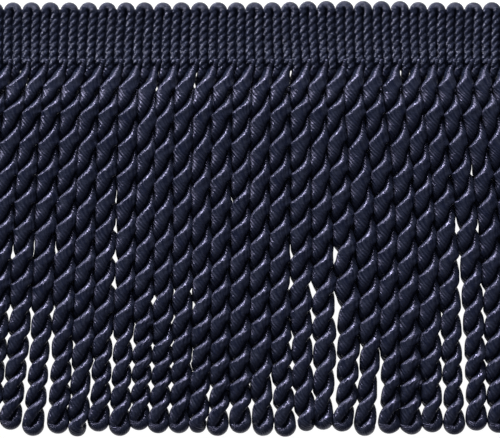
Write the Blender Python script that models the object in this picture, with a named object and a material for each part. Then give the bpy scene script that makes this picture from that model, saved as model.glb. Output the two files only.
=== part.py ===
"""Bullion fringe: a cut length of twisted-cord trimming that lies face up on a surface.

The heading runs along X with its scalloped edge towards +Y, and the twisted cords run
towards -Y. The underside is at z = 0 and the origin is under the middle of the piece.
Each arch of the heading is one end of a loop of weft yarn. The right leg of one arch and
the left leg of the next twist together into one cord, which ends in a round loop.
"""

import math

import bmesh
import bpy
import numpy as np

MM = 0.001
PIECE_GAP = 0.3 * MM

# Overall sizes
ARCHES = 29
ARCH_PITCH = 4.23 * MM
TOTAL_DROP = 99.7 * MM
TOP_Y = TOTAL_DROP / 2

# Heading
HEADING_DROP = 14.1 * MM
HEADING_THICK = 2.3 * MM
VALLEY_THICK = 1.1 * MM
SHOULDER_SPREAD = 0.55
SHOULDER_HEIGHT = 0.8
ARCH_RADIUS = ARCH_PITCH / 2
ARCH_STEPS = 6
CROWN_RISE = 0.3 * MM
CROWN_AT = 23 * MM
CROWN_SPREAD = 16 * MM

# Strip that holds the cords' roots
STRIP_LENGTH = 121.4 * MM
STRIP_DROP = 1.2 * MM
STRIP_THICK = 2.3 * MM

# Cords
CORDS = ARCHES - 1
COMB_SHIFT = -1.0 * MM
HALF_WIDE = 2.35 * MM
HALF_THIN = 1.1 * MM
SIDE_GAP = 0.36 * MM
STATIONS = 38
STATIONS_PER_HALF_TURN = 3
HALF_TURNS = STATIONS / STATIONS_PER_HALF_TURN
FIRST_QUARTER_LENGTH = 0.75
TIGHTENING = 0.085
ROOT_FLATNESS = 0.45
SWELL_DROP = 4.6 * MM
LOOP_RING_ANGLES = (36, 66, 86)
LOOP_THICK = 0.92

# Depths below the top edge at which each cord's sideways place is given
ROOT_DEPTH = 16.6 * MM
WAIST_DEPTH = 45.4 * MM
KNEE_DEPTH = 68.4 * MM
TIP_DEPTH = 96.0 * MM

# One row for each cord, left to right, in millimetres. root, waist, knee and tip are how
# far the cord lies to the right of its place in an even comb. short is how much sooner
# its loop ends than the longest one, and lag how much lower its twist sits at mid drop.
CORD_COLUMNS = ("root", "waist", "knee", "tip", "short", "lag")
CORD_ROWS = (
    (0.0, -3.9, -6.2, -8.1, 0.6, 0.6),
    (0.6, -3.1, -5.4, -6.9, 0.9, 0.0),
    (0.0, -2.8, -4.4, -6.1, 1.6, 0.0),
    (-0.1, -2.2, -3.8, -5.0, 0.2, 0.0),
    (0.0, -1.6, -3.2, -3.6, 0.7, -1.4),
    (0.2, -1.7, -2.6, -3.3, 0.1, 1.6),
    (0.1, -1.3, -2.5, -2.8, 1.2, 0.0),
    (0.2, -0.7, -1.9, -2.1, 0.2, 0.2),
    (0.4, -0.6, -1.8, -2.0, 1.5, 4.4),
    (0.3, -0.8, -1.3, -1.7, 0.8, 3.2),
    (0.4, -0.3, -0.9, -1.1, 0.8, 1.4),
    (0.8, -0.4, -0.4, -0.9, 0.9, 4.8),
    (0.7, 0.0, -0.3, -0.6, 0.2, 1.6),
    (0.8, 0.6, 0.3, 0.3, 0.8, -0.2),
    (1.0, 0.5, 0.7, 1.3, 0.2, 2.8),
    (0.9, 0.9, 1.0, 2.1, 0.0, 0.2),
    (1.2, 1.7, 1.5, 2.8, 1.3, -0.2),
    (0.9, 2.0, 2.5, 2.4, 1.6, 2.1),
    (1.1, 2.2, 4.0, 2.5, 1.2, -1.4),
    (0.7, 3.0, 4.6, 3.6, 0.2, 2.5),
    (0.6, 3.6, 4.9, 4.8, 0.7, -1.4),
    (0.8, 4.2, 4.9, 5.7, 0.5, 0.9),
    (1.2, 4.3, 5.7, 6.2, 1.0, -2.5),
    (0.8, 4.5, 6.0, 7.0, 0.5, 0.0),
    (0.5, 5.3, 7.0, 7.9, 1.4, -0.2),
    (0.2, 5.9, 7.6, 8.7, 0.9, 1.2),
    (0.1, 6.4, 8.5, 9.6, 0.3, -0.6),
    (0.0, 6.9, 9.2, 10.1, 0.8, 0.5),
)


def clear_scene():
    for old in list(bpy.data.objects):
        bpy.data.objects.remove(old, do_unlink=True)


def navy_yarn(name, roughness):
    """Dark navy rayon: almost black, with a blue cast."""
    material = bpy.data.materials.new(name)
    material.use_nodes = True
    shader = material.node_tree.nodes["Principled BSDF"]
    shader.inputs["Base Color"].default_value = (0.012, 0.014, 0.030, 1.0)
    shader.inputs["Roughness"].default_value = roughness
    shader.inputs["Metallic"].default_value = 0.0
    return material


def object_from(mesh_builder, name, material=None):
    mesh = bpy.data.meshes.new(name)
    mesh_builder.to_mesh(mesh)
    mesh_builder.free()
    made = bpy.data.objects.new(name, mesh)
    bpy.context.scene.collection.objects.link(made)
    if material is not None:
        mesh.materials.append(material)
    return made


def smooth_step(share):
    share = min(1.0, max(0.0, share))
    return share * share * (3 - 2 * share)


# Heading

def arch_middle(index):
    return (index - (ARCHES - 1) / 2) * ARCH_PITCH


def crown_rise(x):
    """The scalloped edge stands a little higher right of the middle."""
    return CROWN_RISE * math.exp(-(((x - CROWN_AT) / CROWN_SPREAD) ** 2))


def arch_centre_y(x):
    return TOP_Y - CROWN_RISE - ARCH_RADIUS + crown_rise(x)


def rib_profile():
    """Places across one rib, as shares of the arch radius, each with its height."""
    shoulder = VALLEY_THICK + (HEADING_THICK - VALLEY_THICK) * SHOULDER_HEIGHT
    half = SHOULDER_SPREAD / 2
    return (
        (0.0, VALLEY_THICK),
        (0.5 - half, shoulder),
        (0.5, HEADING_THICK),
        (0.5 + half, shoulder),
        (1.0, VALLEY_THICK),
    )


def add_arch(shape, index, welded):
    """One arch and its two ribs, which share their outer columns with the next arches."""
    middle = arch_middle(index)
    bottom = TOP_Y - HEADING_DROP
    profile = rib_profile()

    def point(x, y, z):
        key = (round(x / MM, 4), round(y / MM, 4), round(z / MM, 4))
        if key not in welded:
            welded[key] = shape.verts.new((x, y, z))
        return welded[key]

    def notch_y(side):
        return arch_centre_y(middle + side * ARCH_RADIUS)

    # The arch's rings run from its right foot over the top to its left foot.
    def on_arch(share, height, step):
        angle = math.pi * step / ARCH_STEPS
        side = math.cos(angle)
        foot = arch_centre_y(middle)
        lean = (notch_y(math.copysign(1, side)) - foot) * side * side * share
        x = middle + share * ARCH_RADIUS * side
        y = foot + lean + share * ARCH_RADIUS * math.sin(angle)
        return point(x, y, height)

    rings = [[on_arch(s, z, k) for k in range(ARCH_STEPS + 1)] for s, z in profile[1:]]
    hub = on_arch(*profile[0], 0)
    for k in range(ARCH_STEPS):
        shape.faces.new((hub, rings[0][k], rings[0][k + 1]))
        for inner, outer in zip(rings, rings[1:]):
            shape.faces.new((inner[k], outer[k], outer[k + 1], inner[k + 1]))

    # The two ribs run down from the arch's feet.
    left_to_right = [ring[-1] for ring in reversed(rings)] + [hub] + [r[0] for r in rings]
    feet = [point(v.co.x, bottom, v.co.z) for v in left_to_right]
    for k in range(len(feet) - 1):
        shape.faces.new((left_to_right[k], feet[k], feet[k + 1], left_to_right[k + 1]))

    # The rim, the lower edge and the flat underside
    rim = rings[-1]
    ground = [point(v.co.x, v.co.y, 0.0) for v in rim]
    corners = [point(middle - ARCH_RADIUS, bottom, 0.0), point(middle + ARCH_RADIUS, bottom, 0.0)]
    for k in range(ARCH_STEPS):
        shape.faces.new((rim[k], ground[k], ground[k + 1], rim[k + 1]))
    shape.faces.new(feet[::-1] + corners)
    shape.faces.new(ground[::-1] + corners[::-1])
    if index == 0:
        shape.faces.new((rim[-1], ground[-1], corners[0], feet[0]))
    if index == ARCHES - 1:
        shape.faces.new((rim[0], feet[-1], corners[1], ground[0]))


def make_heading(material):
    shape = bmesh.new()
    welded = {}
    for index in range(ARCHES):
        add_arch(shape, index, welded)
    heading = object_from(shape, "heading", material)
    heading.data.shade_smooth()
    heading.data.set_sharp_from_angle(angle=math.radians(50))
    return heading


# Bullion skirt

def cord_row(index):
    values = CORD_ROWS[index]
    return {name: value * MM for name, value in zip(CORD_COLUMNS, values)}


def cord_lines():
    """For each cord, the cubic in depth that its middle line follows sideways."""
    depths = (ROOT_DEPTH, WAIST_DEPTH, KNEE_DEPTH, TIP_DEPTH)
    lines = []
    for index in range(CORDS):
        row = cord_row(index)
        comb = (index - (CORDS - 1) / 2) * ARCH_PITCH + COMB_SHIFT
        places = [comb + row[name] for name in ("root", "waist", "knee", "tip")]
        lines.append(np.polynomial.Polynomial.fit(depths, places, 3))
    return lines


def room_beside(lines, index, depth):
    """Half the width that a cord may take up at a depth, squeezed by its neighbours."""
    here = lines[index](depth)
    spaces = [abs(lines[k](depth) - here) for k in (index - 1, index + 1) if 0 <= k < CORDS]
    return min(HALF_WIDE, (min(spaces) - SIDE_GAP) / 2)


def twist_depth(row, half_turns, first_depth, loop_depth):
    """Depth at which a cord has made that many half turns.

    The two legs start side by side and are slow to begin their first quarter turn, which
    takes three quarters of the length of a later half turn.
    """
    whole = FIRST_QUARTER_LENGTH + HALF_TURNS - 0.5
    length = FIRST_QUARTER_LENGTH + half_turns - 0.5
    if half_turns < 0.5:
        length = FIRST_QUARTER_LENGTH * math.sqrt(2 * half_turns)
    share = length / whole
    eased = share + TIGHTENING * share * (1 - share)
    lag = row["lag"] * math.sin(math.pi * share) ** 2
    return first_depth + (loop_depth - first_depth) * eased + lag


def add_ring(shape, middle, half_sizes, scales, turn):
    """Four corners of a flattened two-ply section, turned about the cord's middle line."""
    wide, thin = half_sizes
    squeeze, swell = scales
    ring = []
    for across, through in ((wide, thin), (-wide, thin), (-wide, -thin), (wide, -thin)):
        side = across * math.cos(turn) - through * math.sin(turn)
        up = across * math.sin(turn) + through * math.cos(turn)
        x, y, z = middle
        ring.append(shape.verts.new((x + side * squeeze, y, z + up * swell)))
    return ring


def add_cord(shape, lines, index, first_depth):
    """One twisted cord, from inside the strip to the round end of its loop."""
    row = cord_row(index)
    reach = math.hypot(HALF_WIDE, HALF_THIN)
    lowest = TOTAL_DROP - row["short"]
    loop_radius = room_beside(lines, index, lowest - HALF_WIDE)
    loop_depth = lowest - loop_radius
    rings = []

    # The twisted length: it swells from the heading's thickness to its own, so that it
    # rests on the surface all the way.
    for step in range(STATIONS + 1):
        half_turns = step / STATIONS_PER_HALF_TURN
        depth = twist_depth(row, half_turns, first_depth, loop_depth)
        squeeze = room_beside(lines, index, depth) / HALF_WIDE
        swell = smooth_step((depth - first_depth) / SWELL_DROP)
        swell = ROOT_FLATNESS + (1 - ROOT_FLATNESS) * swell
        middle = (lines[index](depth), TOP_Y - depth, reach * swell)
        turn = math.pi * half_turns
        rings.append(add_ring(shape, middle, (HALF_WIDE, HALF_THIN), (squeeze, swell), turn))

    # The round end of the loop
    for degrees in LOOP_RING_ANGLES:
        angle = math.radians(degrees)
        depth = loop_depth + loop_radius * math.sin(angle)
        middle = (lines[index](loop_depth), TOP_Y - depth, reach)
        half_sizes = (loop_radius * math.cos(angle), HALF_THIN * LOOP_THICK)
        rings.append(add_ring(shape, middle, half_sizes, (1.0, 1.0), math.pi * HALF_TURNS))

    for upper, lower in zip(rings, rings[1:]):
        for k in range(4):
            after = (k + 1) % 4
            shape.faces.new((upper[k], upper[after], lower[k]))
            shape.faces.new((upper[after], lower[after], lower[k]))
    shape.faces.new(rings[0][::-1])
    shape.faces.new(rings[-1])


def make_skirt(material):
    """The strip with every cord's root fused into it."""
    strip_top = HEADING_DROP + PIECE_GAP
    first_depth = strip_top + STRIP_DROP / 2

    shape = bmesh.new()
    bmesh.ops.create_cube(shape, size=1.0)
    bmesh.ops.scale(shape, vec=(STRIP_LENGTH, STRIP_DROP, STRIP_THICK), verts=shape.verts)
    middle = (0.0, TOP_Y - strip_top - STRIP_DROP / 2, STRIP_THICK / 2)
    bmesh.ops.translate(shape, vec=middle, verts=shape.verts)
    skirt = object_from(shape, "bullion_skirt", material)

    shape = bmesh.new()
    lines = cord_lines()
    for index in range(CORDS):
        add_cord(shape, lines, index, first_depth)
    cords = object_from(shape, "cord_guide")
    cords.hide_render = True
    cords.display_type = "WIRE"

    fuse = skirt.modifiers.new("fuse_cords", "BOOLEAN")
    fuse.operation = "UNION"
    fuse.object = cords
    return skirt


def main():
    clear_scene()
    make_heading(navy_yarn("heading_yarn", 0.5))
    make_skirt(navy_yarn("cord_yarn", 0.4))


main()
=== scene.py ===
"""Looks of the bullion fringe: its ribbed heading, its twisted cords, floor, light and camera."""

import math

import bmesh
import bpy
import numpy as np
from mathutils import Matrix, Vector


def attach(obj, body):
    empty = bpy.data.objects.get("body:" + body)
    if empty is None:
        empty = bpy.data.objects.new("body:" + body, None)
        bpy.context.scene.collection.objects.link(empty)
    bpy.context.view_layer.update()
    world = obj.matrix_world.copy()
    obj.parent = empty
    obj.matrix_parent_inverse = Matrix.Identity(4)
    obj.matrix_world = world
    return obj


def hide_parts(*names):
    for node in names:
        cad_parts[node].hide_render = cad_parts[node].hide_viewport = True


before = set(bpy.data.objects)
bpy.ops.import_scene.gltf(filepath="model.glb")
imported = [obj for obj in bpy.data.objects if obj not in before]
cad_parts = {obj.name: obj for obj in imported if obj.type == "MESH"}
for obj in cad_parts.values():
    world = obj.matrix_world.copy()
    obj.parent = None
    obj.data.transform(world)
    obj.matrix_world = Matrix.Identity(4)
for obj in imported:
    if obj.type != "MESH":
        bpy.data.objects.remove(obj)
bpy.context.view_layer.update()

MM = 0.001

# Sizes in metres. These are the solids' own sizes.
ARCHES = 29
ARCH_PITCH = 4.23 * MM
TOTAL_DROP = 99.7 * MM
TOP_Y = TOTAL_DROP / 2
HEADING_DROP = 14.1 * MM
CORDS = ARCHES - 1
COMB_SHIFT = -1.0 * MM
ROOT_DEPTH = 16.6 * MM
WAIST_DEPTH = 45.4 * MM
KNEE_DEPTH = 68.4 * MM
TIP_DEPTH = 96.0 * MM

# A cord's twist, counted in half turns. FIRST_QUARTER_LENGTH is the length of its first
# quarter turn, as a share of an even half turn's. EARLY_SHARE is how much of the cord the
# column early below acts on.
TWIST_START_DEPTH = 15.0 * MM
HALF_TURNS = 38 / 3
QUARTER_TURN = 0.5
FIRST_QUARTER_LENGTH = 0.75
TIGHTENING = 0.085
EARLY_SHARE = 0.28
TWIST_SAMPLES = 3000

# One row for each cord, left to right, in millimetres. root, waist, knee and tip are how
# far the cord lies to the right of its place in an even comb. short is how much sooner
# its loop ends than the longest one, and lag and early how much lower its twist sits at
# mid drop and near its start. opens is the depth at which gaps to its right begin.
CORD_COLUMNS = ("root", "waist", "knee", "tip", "short", "lag", "early", "opens")
CORD_ROWS = (
    (0.0, -3.4, -5.0, -7.8, 0.6, 0.6, -1.0, 68),
    (0.6, -2.6, -4.2, -6.6, 0.9, 0.0, -1.3, 67),
    (0.0, -2.3, -3.2, -5.8, 1.6, 0.0, -0.8, 67),
    (-0.1, -1.7, -2.6, -4.7, 0.2, 0.0, -1.3, 67),
    (0.0, -1.1, -2.0, -3.3, 0.7, -1.4, -0.9, 75),
    (0.2, -1.2, -1.4, -3.0, 0.1, 1.6, -0.8, 81),
    (0.1, -0.8, -1.3, -2.5, 1.2, 0.0, -0.6, 73),
    (0.2, -0.2, -0.7, -1.8, 0.2, 0.2, -0.4, 73),
    (0.4, -0.1, -0.6, -1.7, 1.5, 4.4, 1.3, 76),
    (0.3, -0.4, -0.3, -1.5, 0.8, 3.2, 0.6, 71),
    (0.4, 0.0, -0.2, -1.0, 0.8, 1.4, -0.6, 91),
    (0.8, -0.2, 0.1, -0.9, 0.9, 4.8, -0.6, 84),
    (0.7, 0.1, 0.0, -0.6, 0.2, 1.6, -1.0, 88),
    (0.8, 0.6, 0.3, 0.3, 0.8, -0.2, -1.0, 85),
    (1.0, 0.5, 0.7, 1.3, 0.2, 2.8, 0.2, 83),
    (0.9, 0.9, 1.0, 2.1, 0.0, 0.2, -0.9, 75),
    (1.2, 1.7, 1.5, 2.8, 1.3, -0.2, -1.3, 68),
    (0.9, 2.0, 2.5, 2.4, 1.6, 2.1, -0.9, 65),
    (1.1, 2.2, 4.0, 2.5, 1.2, -1.4, -1.1, 75),
    (0.7, 3.0, 4.6, 3.6, 0.2, 2.5, -0.9, 78),
    (0.6, 3.6, 4.9, 4.8, 0.7, -1.4, -0.9, 95),
    (0.8, 4.2, 4.9, 5.7, 0.5, 0.9, -1.0, 89),
    (1.2, 4.3, 5.7, 6.2, 1.0, -2.5, -1.2, 68),
    (0.8, 4.5, 6.0, 7.0, 0.5, 0.0, -0.4, 56),
    (0.5, 5.3, 7.0, 7.9, 1.4, -0.2, -0.4, 62),
    (0.2, 5.9, 7.6, 8.7, 0.9, 1.2, -0.5, 68),
    (0.1, 6.4, 8.5, 9.6, 0.3, -0.6, -1.2, 73),
    (0.0, 6.9, 9.2, 10.1, 0.8, 0.5, -0.8, 70),
)

# How each cord's loop lies: like a hook, like a cup under its last ply, edge on, or like a
# wide hook after a slow last turn. Each has this share of a half turn more, or less.
LOOPS = "hchccechhhcehcwcewhwhchhchhc"
LOOP_TURNS = {"h": 0.38, "c": 0.44, "e": -0.12, "w": -0.42}
LOOP_TURN_OVER = 21 * MM

# Small gaps: which cord they lie to the right of, and their depth in millimetres
SMALL_GAPS = (
    (1, 17), (8, 19), (10, 18), (15, 17), (21, 17), (24, 38), (6, 44), (12, 44), (6, 51),
    (23, 51), (24, 51), (2, 56), (3, 56), (1, 57), (6, 58), (15, 57), (17, 58), (6, 64),
    (15, 64), (9, 66), (10, 66), (16, 66), (8, 68), (10, 70), (9, 72),
)
SMALL_GAP_SPREAD = 1.8 * MM
SMALL_GAP_WIDENING = 0.30 * MM

# Gaps that are wider or narrower than the cords' lines alone would leave them: which cord
# they lie to the right of, their depth, and by how many millimetres
GAP_CHANGES = (
    (1, 18, 0.38), (1, 76, -0.6), (1, 82, -0.4), (1, 90, -0.7), (2, 76, 0.3), (2, 82, 0.3),
    (2, 88, 0.4), (3, 82, 0.6), (3, 88, 0.2), (4, 82, -0.3), (4, 92, -0.3), (5, 82, 0.3),
    (5, 88, 0.8), (6, 77, 0.3), (6, 83, 0.3), (7, 77, 0.7), (7, 83, 0.4), (7, 88, 0.6),
    (8, 18, 0.3), (8, 88, 0.3), (9, 88, 0.3), (10, 82, 0.4), (11, 89, 0.6), (11, 92, 0.2),
    (13, 90, -0.4), (14, 88, 0.35), (15, 77, 0.4), (15, 88, -0.3), (16, 76, -0.4),
    (17, 76, -0.8), (17, 82, -0.7), (17, 92, 0.6), (18, 82, 0.2), (18, 92, -0.4), (19, 83, 0.4),
    (19, 89, 0.9), (22, 77, 0.3), (22, 88, 0.4), (22, 92, 0.2), (23, 80, 0.3), (23, 88, 0.5),
    (24, 82, -0.5),
)
GAP_CHANGE_SPREAD = 3.5 * MM

# A cord's two plies, before their neighbours squeeze them. Each ply is a soft half round:
# its radius is how far it reaches from the cord's middle line. Each yarn's filaments start
# somewhere within FILAMENT_OFFSETS millimetres of their pattern.
PLY_RADIUS = 2.5 * MM
HALF_WIDE_AT_ROOT = 1.95 * MM
HALF_WIDE_AT_TIP = 1.70 * MM
PLY_SQUARENESS = 2.3
PLY_INNER_SPREAD = 0.10
PLY_GAP = -0.1 * MM
PLY_SIDES = 22
RING_STEP = 0.30 * MM
PLY_UNEVENNESS = 0.03
UNEVEN_LENGTHS = (5.3 * MM, 9.1 * MM, 17.0 * MM)
FILAMENT_SLANT = 1.74
FILAMENT_OFFSETS = 90
CORDS_PER_PIECE = 4
FLOOR_ROOM = 0.01 * MM

# The loop at a cord's end. LOOP_ARC is the share of its radius at which the length of its
# filaments is taken.
LOOP_RINGS = 14
LOOP_OPENING = 0.04 * MM
LOOP_SWELL = 0.05 * MM
LOOP_OVER = 3.5 * MM
LOOP_ARC = 0.8

# How neighbouring cords meet: those that overlap give way near their edges, and those that
# lie close spread to touch, at their very edges only
SQUEEZE_FREE = 0.75 * MM
TOUCH_OVERLAP = 0.25 * MM
NESTING_ROOM = 1.2 * MM
FILLED_FADE = 5 * MM
SEAM_WANDER = 0.20 * MM
SMALLEST_REACH = 0.1 * MM
SQUEEZE_POWER = 2
SPREAD_POWER = 4

# Roots, where the heading's legs swell into plies. A pair holds the first and second ply's
# values, and depths here start at ROOT_START.
ROOT_START = HEADING_DROP - 0.9 * MM
ROOT_BLEND_STARTS = (0.8 * MM, 1.2 * MM)
ROOT_BLEND_DROPS = (2.3 * MM, 4.2 * MM)
ROOT_SWELL_STARTS = (0.5 * MM, 4.8 * MM)
ROOT_SWELL_DROPS = (14.0 * MM, 7.0 * MM)
ROOT_FLATNESS = (0.64, 0.58)
ROOT_LEG_SHIFTS = (0.85 * MM, -0.05 * MM)
ROOT_LEG_LIFTS = (0.95 * MM, 0.45 * MM)
ROOT_SINK_HEIGHT = 1.1
LEG_SIZES = (0.66, 0.85)
LEG_BUMPS = 0.05
START_TWIST_RATE = math.radians(24.6) / MM

# Within each half turn a ply turns fastest as it comes up on the right, and slowest once
# it is past the top
SWAY = 0.20
SWAY_PHASE = math.radians(96)

# The ribs' feet follow the cords' roots, smoothed over their neighbours, and lie further
# left on the right side of the piece
FOOT_SHIFT = -0.40 * MM
FOOT_WEIGHTS = (1, 2, 3, 2, 1)
RIGHT_FOOT_SHIFT = -0.2 * MM
RIGHT_FROM = 5 * MM
RIGHT_OVER = 15 * MM

# Heading: two ribs under each arch, one cabled yarn whose plies make rows of slanting beads
LEG_OFFSET = ARCH_PITCH / 4
ARCH_RADIUS = 1.07 * MM
RIB_RADIUS = 0.98 * MM
RIB_MIDDLE_Z = 1.15 * MM
ARCH_LIFT = 0.27 * MM
RIB_SIDES = 20
RIB_RING_STEP = 0.18 * MM
RIB_ROW = 1.8 * MM
RIB_UNEVENNESS = 0.02
LEG_SHIFT = -0.22 * MM
ARCHES_PER_PIECE = 15

# The arches over one stretch stand a little higher, on a hump with a flatter top than the
# solids have
CROWN_RISE = 0.3 * MM
CROWN_AT = 23 * MM
CROWN_SPREAD = 14.5 * MM
CROWN_FLATNESS = 6

# Over another stretch, counted in arches, they lie a little to the right
ARCH_SHIFT = 0.62 * MM
ARCH_SHIFT_AT = 9.6
ARCH_SHIFT_SPREAD = 6.0
ARCH_SHIFT_FLATNESS = 4

# The beads lie in rows, which rise with the arches, and start under each smooth arch
FIRST_ROW_DEPTH = 4.85 * MM
ROW_RISE = 1.3
ROW_JITTER = 0.06
BEAD_SLANT = 0.85
BEAD_GROOVE = 0.32
BEAD_ROUNDNESS = 2.2
BEAD_FILAMENT_SLANT = 1.0
SMOOTH_ARCH_DEPTH = 1.6 * MM
BEADS_GROW_OVER = 1.6 * MM
RIB_SLIMS_OVER = 2.0 * MM

# How far the left and the right rib of an arch run past the heading's edge, how their ends
# are rounded off, and how the edge is lifted over the roots
RIB_ENDS = (0.3 * MM, 1.6 * MM)
RIB_END_TAPER = 0.9 * MM
RIB_END_SIZE = 0.35
EDGE_LIFT = 0.7 * MM
EDGE_LIFT_FROM = 8.5 * MM
EDGE_LIFT_OVER = 5.6 * MM

# The woven ground behind the ribs
GROUND_END_ROOM = 0.8 * MM
GROUND_TOP_DEPTH = 1.65 * MM
GROUND_OVERHANG = 1.6 * MM
GROUND_Z = 0.55 * MM
GROUND_THICK = 0.9 * MM
GROUND_RIDGE = 0.05 * MM
GROUND_ROWS = 16
GROUND_STEPS_PER_ARCH = 4

# Yarn finishes. dark and light are the two tones, rough the least and most roughness,
# bundle_width the filament bundles' width in millimetres, lumps how high the unevenness
# is beside them, relief the height of both, gloss and tint the shine's strength and colour,
# and directed how far it is drawn out across the filaments.
CORD_RAYON = {
    "dark": (0.003, 0.0045, 0.012),
    "light": (0.0133, 0.0155, 0.026),
    "rough": (0.21, 0.52),
    "bundle_width": 0.50,
    "lumps": 0.45,
    "relief": 0.08 * MM,
    "gloss": 0.40,
    "tint": (0.66, 0.63, 1.0),
    "directed": 0.9,
}
HEADING_RAYON = {
    "dark": (0.0055, 0.007, 0.0155),
    "light": (0.016, 0.0193, 0.0365),
    "rough": (0.10, 0.27),
    "bundle_width": 0.34,
    "lumps": 0.9,
    "relief": 0.11 * MM,
    "gloss": 0.31,
    "tint": (0.74, 0.74, 1.0),
    "directed": 0.7,
}

# Noise along the filaments: its width and length in millimetres, and its detail
TONE_STRANDS = (0.30, 5.0, 2.0)
ROUGH_STRANDS = (0.42, 3.0, 1.0)
LUMP_STRANDS = (0.50, 0.75, 1.0)
NOISE_MIDDLE = (0.36, 0.64)

# The bundles' length in millimetres, how much they waver, and the scale that makes one wave
# in one unit
BUNDLE_LENGTH = 2.2
BUNDLE_WAVER = 2.4
ONE_WAVE_PER_UNIT = math.pi / 10

# A quarter of a turn in the shader, and the sockets of a Mix node that mixes colours
QUARTER_ROTATION = 0.25
MIX_COLOUR_A = 6
MIX_COLOUR_B = 7
MIX_COLOUR_RESULT = 2

# Camera: straight above, framed as the photograph is
PHOTO_WIDTH_PX = 500
PHOTO_SCALE = 0.23 * MM
CAMERA_HEIGHT = 0.60
CAMERA_X = -0.55 * MM
CAMERA_Y = 0.05 * MM
CLIP_START = 0.01
SENSOR_MM = 36.0

# Light: a long key light from the upper left and a smaller one over the scalloped edge, both
# low, and a dim sky. The floor glows, so that it is as pale as the photograph's background.
LIGHT_DISTANCE = 0.9
SKY_COLOUR = (0.80, 0.88, 1.0)
SKY_STRENGTH = 0.28
FLOOR_HALF_WIDTH = 1.5
FLOOR_GREY = 0.12
FLOOR_ROUGHNESS = 0.9
FLOOR_GLOSS = 0.1
FLOOR_GLOW = 0.99

SEED = 7
random = np.random.default_rng(SEED)


def smooth_step(share):
    """A soft step from 0 to 1 as the share goes from 0 to 1."""
    share = np.clip(share, 0.0, 1.0)
    return share * share * (3 - 2 * share)


# Places along the heading and the cords

def arch_middle(index):
    """Where an arch stands along the heading."""
    return (index - (ARCHES - 1) / 2) * ARCH_PITCH


def crown_rise(x):
    """The arches and the rows under them lie a little higher over one stretch."""
    return CROWN_RISE * np.exp(-(((x - CROWN_AT) / CROWN_SPREAD) ** CROWN_FLATNESS))


def arch_centre_y(x):
    """Where the centre that an arch bends round lies along Y."""
    return TOP_Y - CROWN_RISE - ARCH_PITCH / 2 + ARCH_LIFT + crown_rise(x)


def cord_row(index):
    """One cord's row in metres, by its columns' names."""
    values = CORD_ROWS[index]
    return {name: value * MM for name, value in zip(CORD_COLUMNS, values)}


def cord_lines():
    """For each cord, the cubic in depth that its middle line follows sideways."""
    depths = (ROOT_DEPTH, WAIST_DEPTH, KNEE_DEPTH, TIP_DEPTH)
    lines = []
    for index in range(CORDS):
        row = cord_row(index)
        comb = (index - (CORDS - 1) / 2) * ARCH_PITCH + COMB_SHIFT
        places = [comb + row[name] for name in ("root", "waist", "knee", "tip")]
        lines.append(np.polynomial.Polynomial.fit(depths, places, 3))
    return lines


def twist_depth(row, half_turns, loop_depth):
    """Depth at which a cord has made that many half turns."""
    whole = FIRST_QUARTER_LENGTH + HALF_TURNS - QUARTER_TURN
    length = FIRST_QUARTER_LENGTH + half_turns - QUARTER_TURN
    start = FIRST_QUARTER_LENGTH * np.sqrt(half_turns / QUARTER_TURN)
    share = np.where(half_turns < QUARTER_TURN, start, length) / whole
    eased = share + TIGHTENING * share * (1 - share)
    lag = row["lag"] * np.sin(math.pi * share) ** 2
    early = row["early"] * np.sin(math.pi * np.minimum(share / EARLY_SHARE, 1.0)) ** 2
    return TWIST_START_DEPTH + (loop_depth - TWIST_START_DEPTH) * eased + lag + early


# Meshes made of rings of points

class RingMesh:
    """Gathers closed tubes, each a stack of rings, and turns them into one mesh object."""

    def __init__(self):
        self.points = []
        self.quads = []
        self.caps = []
        self.corner_uv = []
        self.count = 0

    def add(self, rings, uv):
        """rings is rings x sides x 3. uv is rings x (sides + 1) x 2, to close the seam."""
        number, sides = rings.shape[:2]
        ring = np.arange(number - 1)[:, None]
        side = np.arange(sides)[None, :]
        after = (side + 1) % sides
        quads = np.stack([
            ring * sides + side,
            ring * sides + after,
            (ring + 1) * sides + after,
            (ring + 1) * sides + side,
        ], axis=-1) + self.count
        corner_uv = np.stack([uv[:-1, :-1], uv[:-1, 1:], uv[1:, 1:], uv[1:, :-1]], axis=2)
        first = np.arange(sides) + self.count
        self.points.append(rings.reshape(-1, 3))
        self.quads.append(quads.reshape(-1, 4))
        self.corner_uv.append(corner_uv.reshape(-1, 2))
        self.caps.append(first[::-1])
        self.caps.append(first + (number - 1) * sides)
        self.count += number * sides

    def build(self, name, material):
        """One object of all tubes, with a cap at both ends of each."""
        points = np.concatenate(self.points)
        quads = np.concatenate(self.quads)
        corners = np.concatenate([quads.reshape(-1)] + self.caps)
        totals = np.concatenate([np.full(len(quads), 4), [len(c) for c in self.caps]])
        starts = np.concatenate([[0], np.cumsum(totals)[:-1]])
        cap_uv = np.zeros((sum(len(c) for c in self.caps), 2))
        uv = np.concatenate(self.corner_uv + [cap_uv])
        mesh = bpy.data.meshes.new(name)
        mesh.vertices.add(len(points))
        mesh.vertices.foreach_set("co", points.astype(np.float32).ravel())
        mesh.loops.add(len(corners))
        mesh.loops.foreach_set("vertex_index", corners.astype(np.int32))
        mesh.polygons.add(len(totals))
        mesh.polygons.foreach_set("loop_start", starts.astype(np.int32))
        mesh.polygons.foreach_set("loop_total", totals.astype(np.int32))
        mesh.update(calc_edges=True)
        layer = mesh.uv_layers.new(name="filaments")
        layer.data.foreach_set("uv", uv.astype(np.float32).ravel())
        mesh.shade_smooth()
        mesh.materials.append(material)
        made = bpy.data.objects.new(name, mesh)
        bpy.context.scene.collection.objects.link(made)
        return made


def around_lengths(rings, middle_column):
    """Lengths along each ring from its middle column, with the closing point repeated."""
    closed = np.concatenate([rings, rings[:, :1]], axis=1)
    steps = np.linalg.norm(np.diff(closed, axis=1), axis=2)
    lengths = np.concatenate([np.zeros((len(rings), 1)), np.cumsum(steps, axis=1)], axis=1)
    return lengths - lengths[:, middle_column:middle_column + 1]


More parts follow.
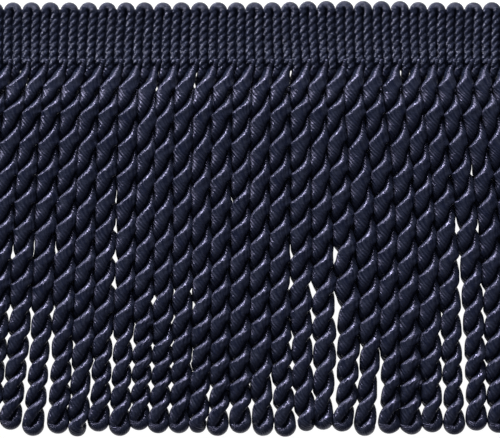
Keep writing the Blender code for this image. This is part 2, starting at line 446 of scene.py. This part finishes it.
def filament_uv(around, along, slant, offset):
    """U runs along a filament and V across it, both in millimetres of surface."""
    slope = math.hypot(1.0, slant)
    v = (around + slant * along[:, None]) / slope
    u = np.broadcast_to(along[:, None] * slope / slant, v.shape)
    return np.stack([u, v], axis=-1) / MM + offset


# Cords of the skirt

def uneven(depth, size):
    """A slow wander about 1 along a cord, never the same twice."""
    waves = np.zeros_like(depth)
    for length in UNEVEN_LENGTHS:
        waves += np.sin(2 * math.pi * depth / length + random.uniform(0, 2 * math.pi))
    return 1 + size * waves / len(UNEVEN_LENGTHS)


def ply_outline(radius, half_wide, gap):
    """Points around a half-round ply: out from the cord's middle line, and across it."""
    angle = -math.pi + 2 * math.pi * np.arange(PLY_SIDES) / PLY_SIDES
    power = 2 / PLY_SQUARENESS
    out = np.sign(np.cos(angle)) * np.abs(np.cos(angle)) ** power
    side = np.sign(np.sin(angle)) * np.abs(np.sin(angle)) ** power
    deep = (radius - gap / 2) / 2
    outward = (radius + gap / 2)[:, None] / 2 + deep[:, None] * out
    across = half_wide[:, None] * side * (1 - PLY_INNER_SPREAD * out)
    return outward, across


def cord_reach():
    """How far the two plies together reach from the cord's middle line, at most."""
    sizes = [np.array([size]) for size in (PLY_RADIUS, HALF_WIDE_AT_ROOT, PLY_GAP)]
    outward, across = ply_outline(*sizes)
    return float(np.hypot(outward, across).max())


def strand_rings(base, out_way, side_way, sizes):
    """Rings of a ply that lies out from its base in one direction at each step."""
    outward, across = ply_outline(*sizes)
    return (base[:, None, :] + outward[..., None] * out_way[:, None, :]
            + across[..., None] * side_way[:, None, :])


def leg_rings(depth, middle_x, middle_z, out_way, side_way, size):
    """Rings of a round leg as it comes out of the heading."""
    angle = -math.pi + 2 * math.pi * np.arange(PLY_SIDES) / PLY_SIDES
    rings = (out_way[:, None, :] * np.cos(angle)[None, :, None]
             + side_way[:, None, :] * np.sin(angle)[None, :, None]) * size[:, None, None]
    rings[..., 0] += middle_x[:, None]
    rings[..., 1] += depth[:, None]
    rings[..., 2] += middle_z
    return rings


def foot_shifts():
    """How far the ribs' feet lie to the right of their place, beside each cord."""
    roots = np.array([cord_row(k)["root"] for k in range(CORDS)])
    weights = np.array(FOOT_WEIGHTS) / sum(FOOT_WEIGHTS)
    padded = np.pad(roots, len(FOOT_WEIGHTS) // 2, mode="edge")
    smoothed = np.convolve(padded, weights, "valid")
    x = (np.arange(CORDS) - (CORDS - 1) / 2) * ARCH_PITCH
    return smoothed + FOOT_SHIFT + RIGHT_FOOT_SHIFT * smooth_step((x - RIGHT_FROM) / RIGHT_OVER)


class Cord:
    """One yarn that runs down a cord, round its loop and up again, before it is squeezed."""

    def __init__(self, index, line, foot_shift):
        self.row = cord_row(index)
        self.line = line
        self.reach = cord_reach()
        self.loop_depth = TOTAL_DROP - self.row["short"] - PLY_RADIUS - LOOP_SWELL
        depth = np.arange(ROOT_START, self.loop_depth, RING_STEP)
        depth = np.append(depth[:-1], self.loop_depth)
        turn = self.turns(depth, LOOP_TURNS[LOOPS[index]])
        zero = np.zeros_like(depth)
        out_way = np.stack([np.cos(turn), zero, np.sin(turn)], axis=1)
        side_way = np.stack([-np.sin(turn), zero, np.cos(turn)], axis=1)
        sizes = self.ply_sizes(depth)
        legs = (arch_middle(index + 1) - LEG_OFFSET + foot_shift,
                arch_middle(index) + LEG_OFFSET + foot_shift)
        first = self.ply_rings(0, legs[0], depth, out_way, side_way, sizes)
        second = self.ply_rings(1, legs[1], depth, -out_way, side_way, sizes)
        angle = np.linspace(0.0, math.pi, LOOP_RINGS + 2)[1:-1]
        tip_sizes = [size[-1] for size in sizes]
        loop = self.loop_rings(angle, out_way[-1], side_way[-1], tip_sizes)
        self.rings = np.concatenate([first, loop, second[::-1]])
        down = depth - ROOT_START
        loop_along = tip_sizes[0] * LOOP_ARC * angle
        after_loop = down[-1] + loop_along[-1] + (down[-1] - down[::-1])
        self.along = np.concatenate([down, down[-1] + loop_along, after_loop])

    def turns(self, depth, loop_turn):
        """The angle round the cord at which its first ply lies, at each depth."""
        many = np.linspace(0.0, HALF_TURNS, TWIST_SAMPLES)
        many_depth = twist_depth(self.row, many, self.loop_depth)
        turn = math.pi * np.interp(depth, many_depth, many)
        quarter = float(np.interp(QUARTER_TURN, many, many_depth))
        early = math.pi / 2 - (quarter - depth) * START_TWIST_RATE
        turn = np.where(depth < quarter, early, turn)
        before_loop = self.loop_depth - depth
        turn += math.pi * loop_turn * smooth_step(1 - before_loop / LOOP_TURN_OVER)
        turn += SWAY * np.sin(2 * turn - SWAY_PHASE)
        return turn

    def ply_sizes(self, depth):
        """A ply's radius and half width, and the gap between the plies, at each depth."""
        opening = smooth_step(1 - (self.loop_depth - depth) / LOOP_OVER)
        share = (depth - ROOT_START) / (self.loop_depth - ROOT_START)
        radius = PLY_RADIUS + LOOP_SWELL * opening
        half_wide = HALF_WIDE_AT_ROOT + (HALF_WIDE_AT_TIP - HALF_WIDE_AT_ROOT) * share
        gap = PLY_GAP + LOOP_OPENING * opening
        return radius, half_wide, gap

    def ply_rings(self, ply, leg_place, depth, out_way, side_way, sizes):
        """Rings of one ply, which comes out of a leg of the heading and starts low."""
        radius, half_wide, gap = sizes
        uneven_sizes = (radius * uneven(depth, PLY_UNEVENNESS),
                        half_wide * uneven(depth, PLY_UNEVENNESS), gap)
        zero = np.zeros_like(depth)
        base = np.stack([zero, depth, zero], axis=1)
        rings = strand_rings(base, out_way, side_way, uneven_sizes)
        down = depth - ROOT_START
        swell = np.clip((down - ROOT_SWELL_STARTS[ply]) / ROOT_SWELL_DROPS[ply], 0.0, 1.0)
        flat = 1 - (1 - ROOT_FLATNESS[ply]) * (1 - swell) ** 2
        z = rings[..., 2] + self.reach
        drop = (1 - flat[:, None]) * 2 * self.reach
        rings[..., 2] = z - drop * np.minimum(z / (ROOT_SINK_HEIGHT * self.reach), 1.0)
        bumps = 1 + LEG_BUMPS * np.cos(2 * math.pi * (depth - FIRST_ROW_DEPTH) / RIB_ROW)
        leg_x = leg_place + ROOT_LEG_SHIFTS[ply] - self.line(depth)
        leg_z = RIB_MIDDLE_Z + ROOT_LEG_LIFTS[ply]
        leg_size = LEG_SIZES[ply] * RIB_RADIUS * bumps
        leg = leg_rings(depth, leg_x, leg_z, out_way, side_way, leg_size)
        blend = smooth_step((down - ROOT_BLEND_STARTS[ply]) / ROOT_BLEND_DROPS[ply])
        blend = blend[:, None, None]
        return leg * (1 - blend) + rings * blend

    def loop_rings(self, angle, out_way, side_way, sizes):
        """The loop turns from the first ply's end to the second's, in the plies' own plane."""
        angle = angle[:, None]
        loop_out = np.cos(angle) * out_way + np.sin(angle) * np.array([[0.0, 1.0, 0.0]])
        base = np.tile(np.array([0.0, self.loop_depth, 0.0]), (LOOP_RINGS, 1))
        loop_side = np.tile(side_way, (LOOP_RINGS, 1))
        loop_sizes = [np.full(LOOP_RINGS, size) for size in sizes]
        rings = strand_rings(base, loop_out, loop_side, loop_sizes)
        rings[..., 2] += self.reach
        return rings

    def reaches(self, depth):
        """How far the cord reaches to its left and right at each depth."""
        flat = self.rings.reshape(-1, 3)
        spot = np.rint((flat[:, 1] - depth[0]) / RING_STEP).astype(int)
        spot = np.clip(spot, 0, len(depth) - 1)
        left = np.zeros_like(depth)
        right = np.zeros_like(depth)
        np.maximum.at(left, spot, -flat[:, 0])
        np.maximum.at(right, spot, flat[:, 0])
        return left, right

    def placed(self, depth, cuts, reaches):
        """The rings in their place, with each side pressed in by its cut."""
        side = self.rings[..., 0]
        down = self.rings[..., 1]
        for sign, cut, reach in ((-1, cuts[0], reaches[0]), (1, cuts[1], reaches[1])):
            here = np.interp(down, depth, np.maximum(reach, SMALLEST_REACH))
            press = np.interp(down, depth, cut)
            out = np.clip(sign * side / here, 0.0, 1.0)
            give = np.where(press > 0, out ** SQUEEZE_POWER, out ** SPREAD_POWER)
            side = side - sign * press * give
        x = self.line(np.minimum(down, self.loop_depth)) + side
        z = np.maximum(self.rings[..., 2], FLOOR_ROOM)
        return np.stack([x, TOP_Y - down, z], axis=-1)


def small_gaps(index):
    """Depths of the small gaps to the right of a cord."""
    return [gap_depth * MM for cord, gap_depth in SMALL_GAPS if cord == index]


def gap_widening(index, depth):
    """How much wider the gap to the right of a cord is at each depth."""
    wider = np.zeros_like(depth)
    for cord, gap_depth, change in GAP_CHANGES:
        if cord == index:
            wider += change * MM * np.exp(-((depth - gap_depth * MM) / GAP_CHANGE_SPREAD) ** 2)
    for gap_depth in small_gaps(index):
        away = (depth - gap_depth) / SMALL_GAP_SPREAD
        wider += SMALL_GAP_WIDENING * np.exp(-away ** 2)
    return wider


def pair_cuts(cords, depth):
    """How much each side gives way to its neighbour, or spreads to meet one that is close."""
    reaches = [cord.reaches(depth) for cord in cords]
    cuts = [[np.zeros_like(depth), np.zeros_like(depth)] for _ in cords]
    for k in range(len(cords) - 1):
        room = cords[k + 1].line(depth) - cords[k].line(depth)
        right, left = reaches[k][1], reaches[k + 1][0]
        overlap = right + left - room
        both = np.where((right > 0) & (left > 0), 1.0, 0.0)
        near = smooth_step((overlap + 2 * NESTING_ROOM) / NESTING_ROOM)
        filled = near * both * (1 - smooth_step((depth - cords[k].row["opens"]) / FILLED_FADE))
        for gap_depth in small_gaps(k):
            away = (depth - gap_depth) / SMALL_GAP_SPREAD
            filled = filled * (1 - np.exp(-away ** 4))
        squeeze = np.maximum(overlap - SQUEEZE_FREE, 0) * both
        spread = np.minimum(overlap - TOUCH_OVERLAP, 0) * filled
        wander = SEAM_WANDER * (uneven(depth, 1.0) - 1) * filled
        meeting = (squeeze + spread + gap_widening(k, depth)) / 2
        cuts[k][1] = meeting + wander
        cuts[k + 1][0] = meeting - wander
    return cuts, reaches


def make_cords(material):
    """All cords of the skirt, in joined runs."""
    lines = cord_lines()
    feet = foot_shifts()
    cords = [Cord(k, lines[k], feet[k]) for k in range(CORDS)]
    depth = np.arange(ROOT_START, TOTAL_DROP + RING_STEP, RING_STEP)
    cuts, reaches = pair_cuts(cords, depth)
    pieces = []
    for first in range(0, CORDS, CORDS_PER_PIECE):
        tubes = RingMesh()
        for k in range(first, min(CORDS, first + CORDS_PER_PIECE)):
            rings = cords[k].placed(depth, cuts[k], reaches[k])
            around = around_lengths(rings, PLY_SIDES // 2)
            offset = random.uniform(0, FILAMENT_OFFSETS, 2)
            tubes.add(rings, filament_uv(around, cords[k].along, FILAMENT_SLANT, offset))
        pieces.append(tubes.build("bullion_cords_%d" % (len(pieces) + 1), material))
    return pieces


# Heading

def arch_shift(index):
    """How far an arch lies to the right of its place in an even row."""
    away = (index - ARCH_SHIFT_AT) / ARCH_SHIFT_SPREAD
    return ARCH_SHIFT * math.exp(-(away ** ARCH_SHIFT_FLATNESS))


def arch_line(index, feet):
    """Middle line of one arch: up its left leg, over the top and down its right leg."""
    middle = arch_middle(index)
    centre = arch_centre_y(middle)
    legs = []
    for side, foot, end in ((-1, feet[0], RIB_ENDS[0]), (1, feet[1], RIB_ENDS[1])):
        bottom = TOP_Y - HEADING_DROP - end
        leg_y = np.arange(bottom, centre, RIB_RING_STEP)
        leg_y = np.append(leg_y[:-1], centre)
        down = (centre - leg_y) / (centre - bottom)
        shift = arch_shift(index) + LEG_SHIFT * np.sin(math.pi * down)
        leg_x = middle + side * LEG_OFFSET + shift + (foot - shift) * smooth_step(down)
        legs.append((leg_x, leg_y))
    (left_x, left_y), (right_x, right_y) = legs
    bend = np.linspace(math.pi, 0.0, int(math.pi * LEG_OFFSET / RIB_RING_STEP) + 1)[1:-1]
    top_x = middle + arch_shift(index) + LEG_OFFSET * np.cos(bend)
    x = np.concatenate([left_x, top_x, right_x[::-1]])
    y = np.concatenate([left_y, centre + LEG_OFFSET * np.sin(bend), right_y[::-1]])
    return np.stack([x, y, RIB_MIDDLE_Z + edge_lift(y)], axis=1)


def edge_lift(y):
    """The heading's lower edge lies over the cords' roots."""
    return EDGE_LIFT * smooth_step((TOP_Y - y - EDGE_LIFT_FROM) / EDGE_LIFT_OVER)


def bead_grooves(points, rings):
    """How deep each point lies in a groove between two beads, from 0 to 1."""
    depth = TOP_Y - rings[..., 1] + BEAD_SLANT * (rings[..., 0] - points[:, None, 0])
    on_right = (points[:, 0] > points[:, 0].mean()).astype(int)
    jitter = random.normal(0.0, ROW_JITTER, 2)[on_right]
    first = FIRST_ROW_DEPTH - ROW_RISE * crown_rise(points[:, None, 0])
    row = (depth - first) / RIB_ROW + jitter[:, None]
    to_groove = 2 * np.abs(row - np.rint(row))
    cabled = smooth_step((TOP_Y - points[:, 1] - SMOOTH_ARCH_DEPTH) / BEADS_GROW_OVER)
    return to_groove ** BEAD_ROUNDNESS * cabled[:, None]


def arch_rings(index, feet):
    """Rings of one arch and its two ribs, and how far along the yarn each ring lies."""
    points = arch_line(index, feet)
    tangent = np.gradient(points, axis=0)
    tangent /= np.linalg.norm(tangent, axis=1, keepdims=True)
    upward = np.tile(np.array([[0.0, 0.0, 1.0]]), (len(points), 1))
    across = np.cross(tangent, upward)
    slim = smooth_step((TOP_Y - points[:, 1] - SMOOTH_ARCH_DEPTH) / RIB_SLIMS_OVER)
    size = 1 + random.normal(0.0, RIB_UNEVENNESS)
    radius = (ARCH_RADIUS + (RIB_RADIUS - ARCH_RADIUS) * slim) * size
    steps = np.linalg.norm(np.diff(points, axis=0), axis=1)
    along = np.concatenate([[0.0], np.cumsum(steps)])
    short_of_end = 1 - np.minimum(along, along[-1] - along) / RIB_END_TAPER
    rounded = np.sqrt(1 - np.maximum(short_of_end, 0.0) ** 2)
    radius = radius * (RIB_END_SIZE + (1 - RIB_END_SIZE) * rounded)
    angle = -math.pi + 2 * math.pi * np.arange(RIB_SIDES) / RIB_SIDES
    outward = (upward[:, None, :] * np.cos(angle)[None, :, None]
               + across[:, None, :] * np.sin(angle)[None, :, None]) * radius[:, None, None]
    grooves = bead_grooves(points, points[:, None, :] + outward)
    rings = points[:, None, :] + outward * (1 - BEAD_GROOVE * grooves[..., None])
    return rings, along


def make_gimp(material):
    """The heading's ribs and arches, in joined runs."""
    feet = np.concatenate([[FOOT_SHIFT], foot_shifts(), [FOOT_SHIFT]])
    pieces = []
    for first in range(0, ARCHES, ARCHES_PER_PIECE):
        tubes = RingMesh()
        for index in range(first, min(ARCHES, first + ARCHES_PER_PIECE)):
            rings, along = arch_rings(index, feet[index:index + 2])
            around = around_lengths(rings, RIB_SIDES // 2)
            offset = random.uniform(0, FILAMENT_OFFSETS, 2)
            tubes.add(rings, filament_uv(around, along, BEAD_FILAMENT_SLANT, offset))
        pieces.append(tubes.build("heading_gimp_%d" % (len(pieces) + 1), material))
    return pieces


def make_ground(material):
    """The woven ground behind the ribs: a thin, slightly ridged band."""
    length = ARCH_PITCH * ARCHES - 2 * GROUND_END_ROOM
    upper = TOP_Y - GROUND_TOP_DEPTH
    lower = TOP_Y - HEADING_DROP - GROUND_OVERHANG
    shape = bmesh.new()
    steps = ARCHES * GROUND_STEPS_PER_ARCH
    bmesh.ops.create_grid(shape, x_segments=steps, y_segments=GROUND_ROWS, size=0.5)
    for v in shape.verts:
        x = v.co.x * length
        y = lower + (v.co.y + 0.5) * (upper - lower)
        ridge = GROUND_RIDGE * math.cos(math.pi * x / LEG_OFFSET)
        v.co = Vector((x, y, GROUND_Z + ridge))
    layer = shape.loops.layers.uv.new("filaments")
    for face in shape.faces:
        for corner in face.loops:
            corner[layer].uv = (corner.vert.co.y / MM, corner.vert.co.x / MM)
    mesh = bpy.data.meshes.new("heading_ground")
    shape.to_mesh(mesh)
    shape.free()
    mesh.shade_smooth()
    mesh.materials.append(material)
    ground = bpy.data.objects.new("heading_ground", mesh)
    bpy.context.scene.collection.objects.link(ground)
    thick = ground.modifiers.new("thickness", "SOLIDIFY")
    thick.thickness = GROUND_THICK
    thick.offset = 0.0
    return ground


# Materials

def node(tree, kind, **settings):
    """A new shader node with these properties."""
    made = tree.nodes.new(kind)
    for key, value in settings.items():
        setattr(made, key, value)
    return made


def stretched(tree, width, length):
    """Place on the surface, in units as long as this along a filament and as wide across it."""
    uv = node(tree, "ShaderNodeUVMap", uv_map="filaments")
    stretch = node(tree, "ShaderNodeMapping")
    stretch.inputs["Scale"].default_value = (1 / length, 1 / width, 1.0)
    tree.links.new(uv.outputs["UV"], stretch.inputs["Vector"])
    return stretch.outputs["Vector"]


def strands(tree, size, least, most):
    """Noise stretched along the filaments, its middle range spread from least to most."""
    width, length, detail = size
    noise = node(tree, "ShaderNodeTexNoise")
    noise.inputs["Scale"].default_value = 1.0
    noise.inputs["Detail"].default_value = detail
    tree.links.new(stretched(tree, width, length), noise.inputs["Vector"])
    spread = node(tree, "ShaderNodeMapRange")
    spread.inputs["From Min"].default_value = NOISE_MIDDLE[0]
    spread.inputs["From Max"].default_value = NOISE_MIDDLE[1]
    spread.inputs["To Min"].default_value = least
    spread.inputs["To Max"].default_value = most
    tree.links.new(noise.outputs["Fac"], spread.inputs["Value"])
    return spread.outputs["Result"]


def bundles(tree, width):
    """Filaments gathered in bundles of one width that waver along their length."""
    wave = node(tree, "ShaderNodeTexWave", bands_direction="Y")
    wave.inputs["Scale"].default_value = ONE_WAVE_PER_UNIT
    wave.inputs["Distortion"].default_value = BUNDLE_WAVER
    wave.inputs["Detail"].default_value = 1.0
    wave.inputs["Detail Scale"].default_value = 1.0
    tree.links.new(stretched(tree, width, BUNDLE_LENGTH), wave.inputs["Vector"])
    return wave.outputs["Fac"]


def rayon(name, dark, light, rough, bundle_width, lumps, relief, gloss, tint, directed):
    """Silky filaments in bundles that lie side by side, in two navy tones."""
    material = bpy.data.materials.new(name)
    material.use_nodes = True
    tree = material.node_tree
    shader = tree.nodes["Principled BSDF"]
    link = tree.links.new

    tone = node(tree, "ShaderNodeMix", data_type="RGBA")
    tone.inputs[MIX_COLOUR_A].default_value = (*dark, 1.0)
    tone.inputs[MIX_COLOUR_B].default_value = (*light, 1.0)
    link(strands(tree, TONE_STRANDS, 0.0, 1.0), tone.inputs["Factor"])
    link(tone.outputs[MIX_COLOUR_RESULT], shader.inputs["Base Color"])
    link(strands(tree, ROUGH_STRANDS, *rough), shader.inputs["Roughness"])

    height = node(tree, "ShaderNodeMath", operation="ADD")
    link(bundles(tree, bundle_width), height.inputs[0])
    link(strands(tree, LUMP_STRANDS, 0.0, lumps), height.inputs[1])
    bump = node(tree, "ShaderNodeBump")
    bump.inputs["Distance"].default_value = relief
    bump.inputs["Strength"].default_value = 1.0
    link(height.outputs["Value"], bump.inputs["Height"])
    link(bump.outputs["Normal"], shader.inputs["Normal"])

    tangent = node(tree, "ShaderNodeTangent", direction_type="UV_MAP", uv_map="filaments")
    link(tangent.outputs["Tangent"], shader.inputs["Tangent"])
    shader.inputs["Anisotropic"].default_value = directed
    shader.inputs["Anisotropic Rotation"].default_value = QUARTER_ROTATION
    shader.inputs["Specular IOR Level"].default_value = gloss
    shader.inputs["Specular Tint"].default_value = (*tint, 1.0)
    return material


def make_floor():
    """A plain pale floor."""
    shape = bmesh.new()
    bmesh.ops.create_grid(shape, x_segments=1, y_segments=1, size=FLOOR_HALF_WIDTH)
    mesh = bpy.data.meshes.new("floor")
    shape.to_mesh(mesh)
    shape.free()
    floor = bpy.data.objects.new("floor", mesh)
    bpy.context.scene.collection.objects.link(floor)
    material = bpy.data.materials.new("pale_floor")
    material.use_nodes = True
    shader = material.node_tree.nodes["Principled BSDF"]
    shader.inputs["Base Color"].default_value = (FLOOR_GREY, FLOOR_GREY, FLOOR_GREY, 1.0)
    shader.inputs["Roughness"].default_value = FLOOR_ROUGHNESS
    shader.inputs["Specular IOR Level"].default_value = FLOOR_GLOSS
    shader.inputs["Emission Color"].default_value = (1.0, 1.0, 1.0, 1.0)
    shader.inputs["Emission Strength"].default_value = FLOOR_GLOW
    mesh.materials.append(material)


# Light and camera

def add_light(name, azimuth, elevation, size, watts):
    """An area light that looks at the middle of the part. Azimuth counts from +X towards +Y."""
    lamp = bpy.data.lights.new(name, "AREA")
    lamp.shape = "RECTANGLE"
    lamp.size, lamp.size_y = size
    lamp.energy = watts
    made = bpy.data.objects.new(name, lamp)
    bpy.context.scene.collection.objects.link(made)
    a, e = math.radians(azimuth), math.radians(elevation)
    direction = Vector((math.cos(a) * math.cos(e), math.sin(a) * math.cos(e), math.sin(e)))
    made.location = direction * LIGHT_DISTANCE
    made.rotation_euler = direction.to_track_quat("Z", "Y").to_euler()


def make_lights():
    """Two area lights, a dim bluish sky and the Standard view transform."""
    add_light("key", azimuth=120, elevation=20, size=(1.25, 0.20), watts=25.5)
    add_light("side", azimuth=86, elevation=22, size=(0.5, 0.16), watts=9)
    world = bpy.data.worlds.new("studio")
    world.use_nodes = True
    background = world.node_tree.nodes["Background"]
    background.inputs["Color"].default_value = (*SKY_COLOUR, 1.0)
    background.inputs["Strength"].default_value = SKY_STRENGTH
    bpy.context.scene.world = world
    bpy.context.scene.view_settings.view_transform = "Standard"


def make_camera():
    """A camera straight above that takes in the photograph's width of the part."""
    data = bpy.data.cameras.new("camera")
    data.sensor_width = SENSOR_MM
    data.lens = SENSOR_MM * CAMERA_HEIGHT / (PHOTO_WIDTH_PX * PHOTO_SCALE)
    data.clip_start = CLIP_START
    camera = bpy.data.objects.new("camera", data)
    bpy.context.scene.collection.objects.link(camera)
    camera.location = (CAMERA_X, CAMERA_Y, CAMERA_HEIGHT)
    bpy.context.scene.camera = camera


def main():
    make_camera()
    make_lights()
    make_floor()
    cord_yarn = rayon("cord_rayon", **CORD_RAYON)
    heading_yarn = rayon("heading_rayon", **HEADING_RAYON)

    ground = make_ground(heading_yarn)
    gimps = make_gimp(heading_yarn)
    cords = make_cords(cord_yarn)
    for piece in (ground, *gimps):
        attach(piece, "root")
        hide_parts("heading")
    for piece in cords:
        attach(piece, "root")
        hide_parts("bullion_skirt")


main()
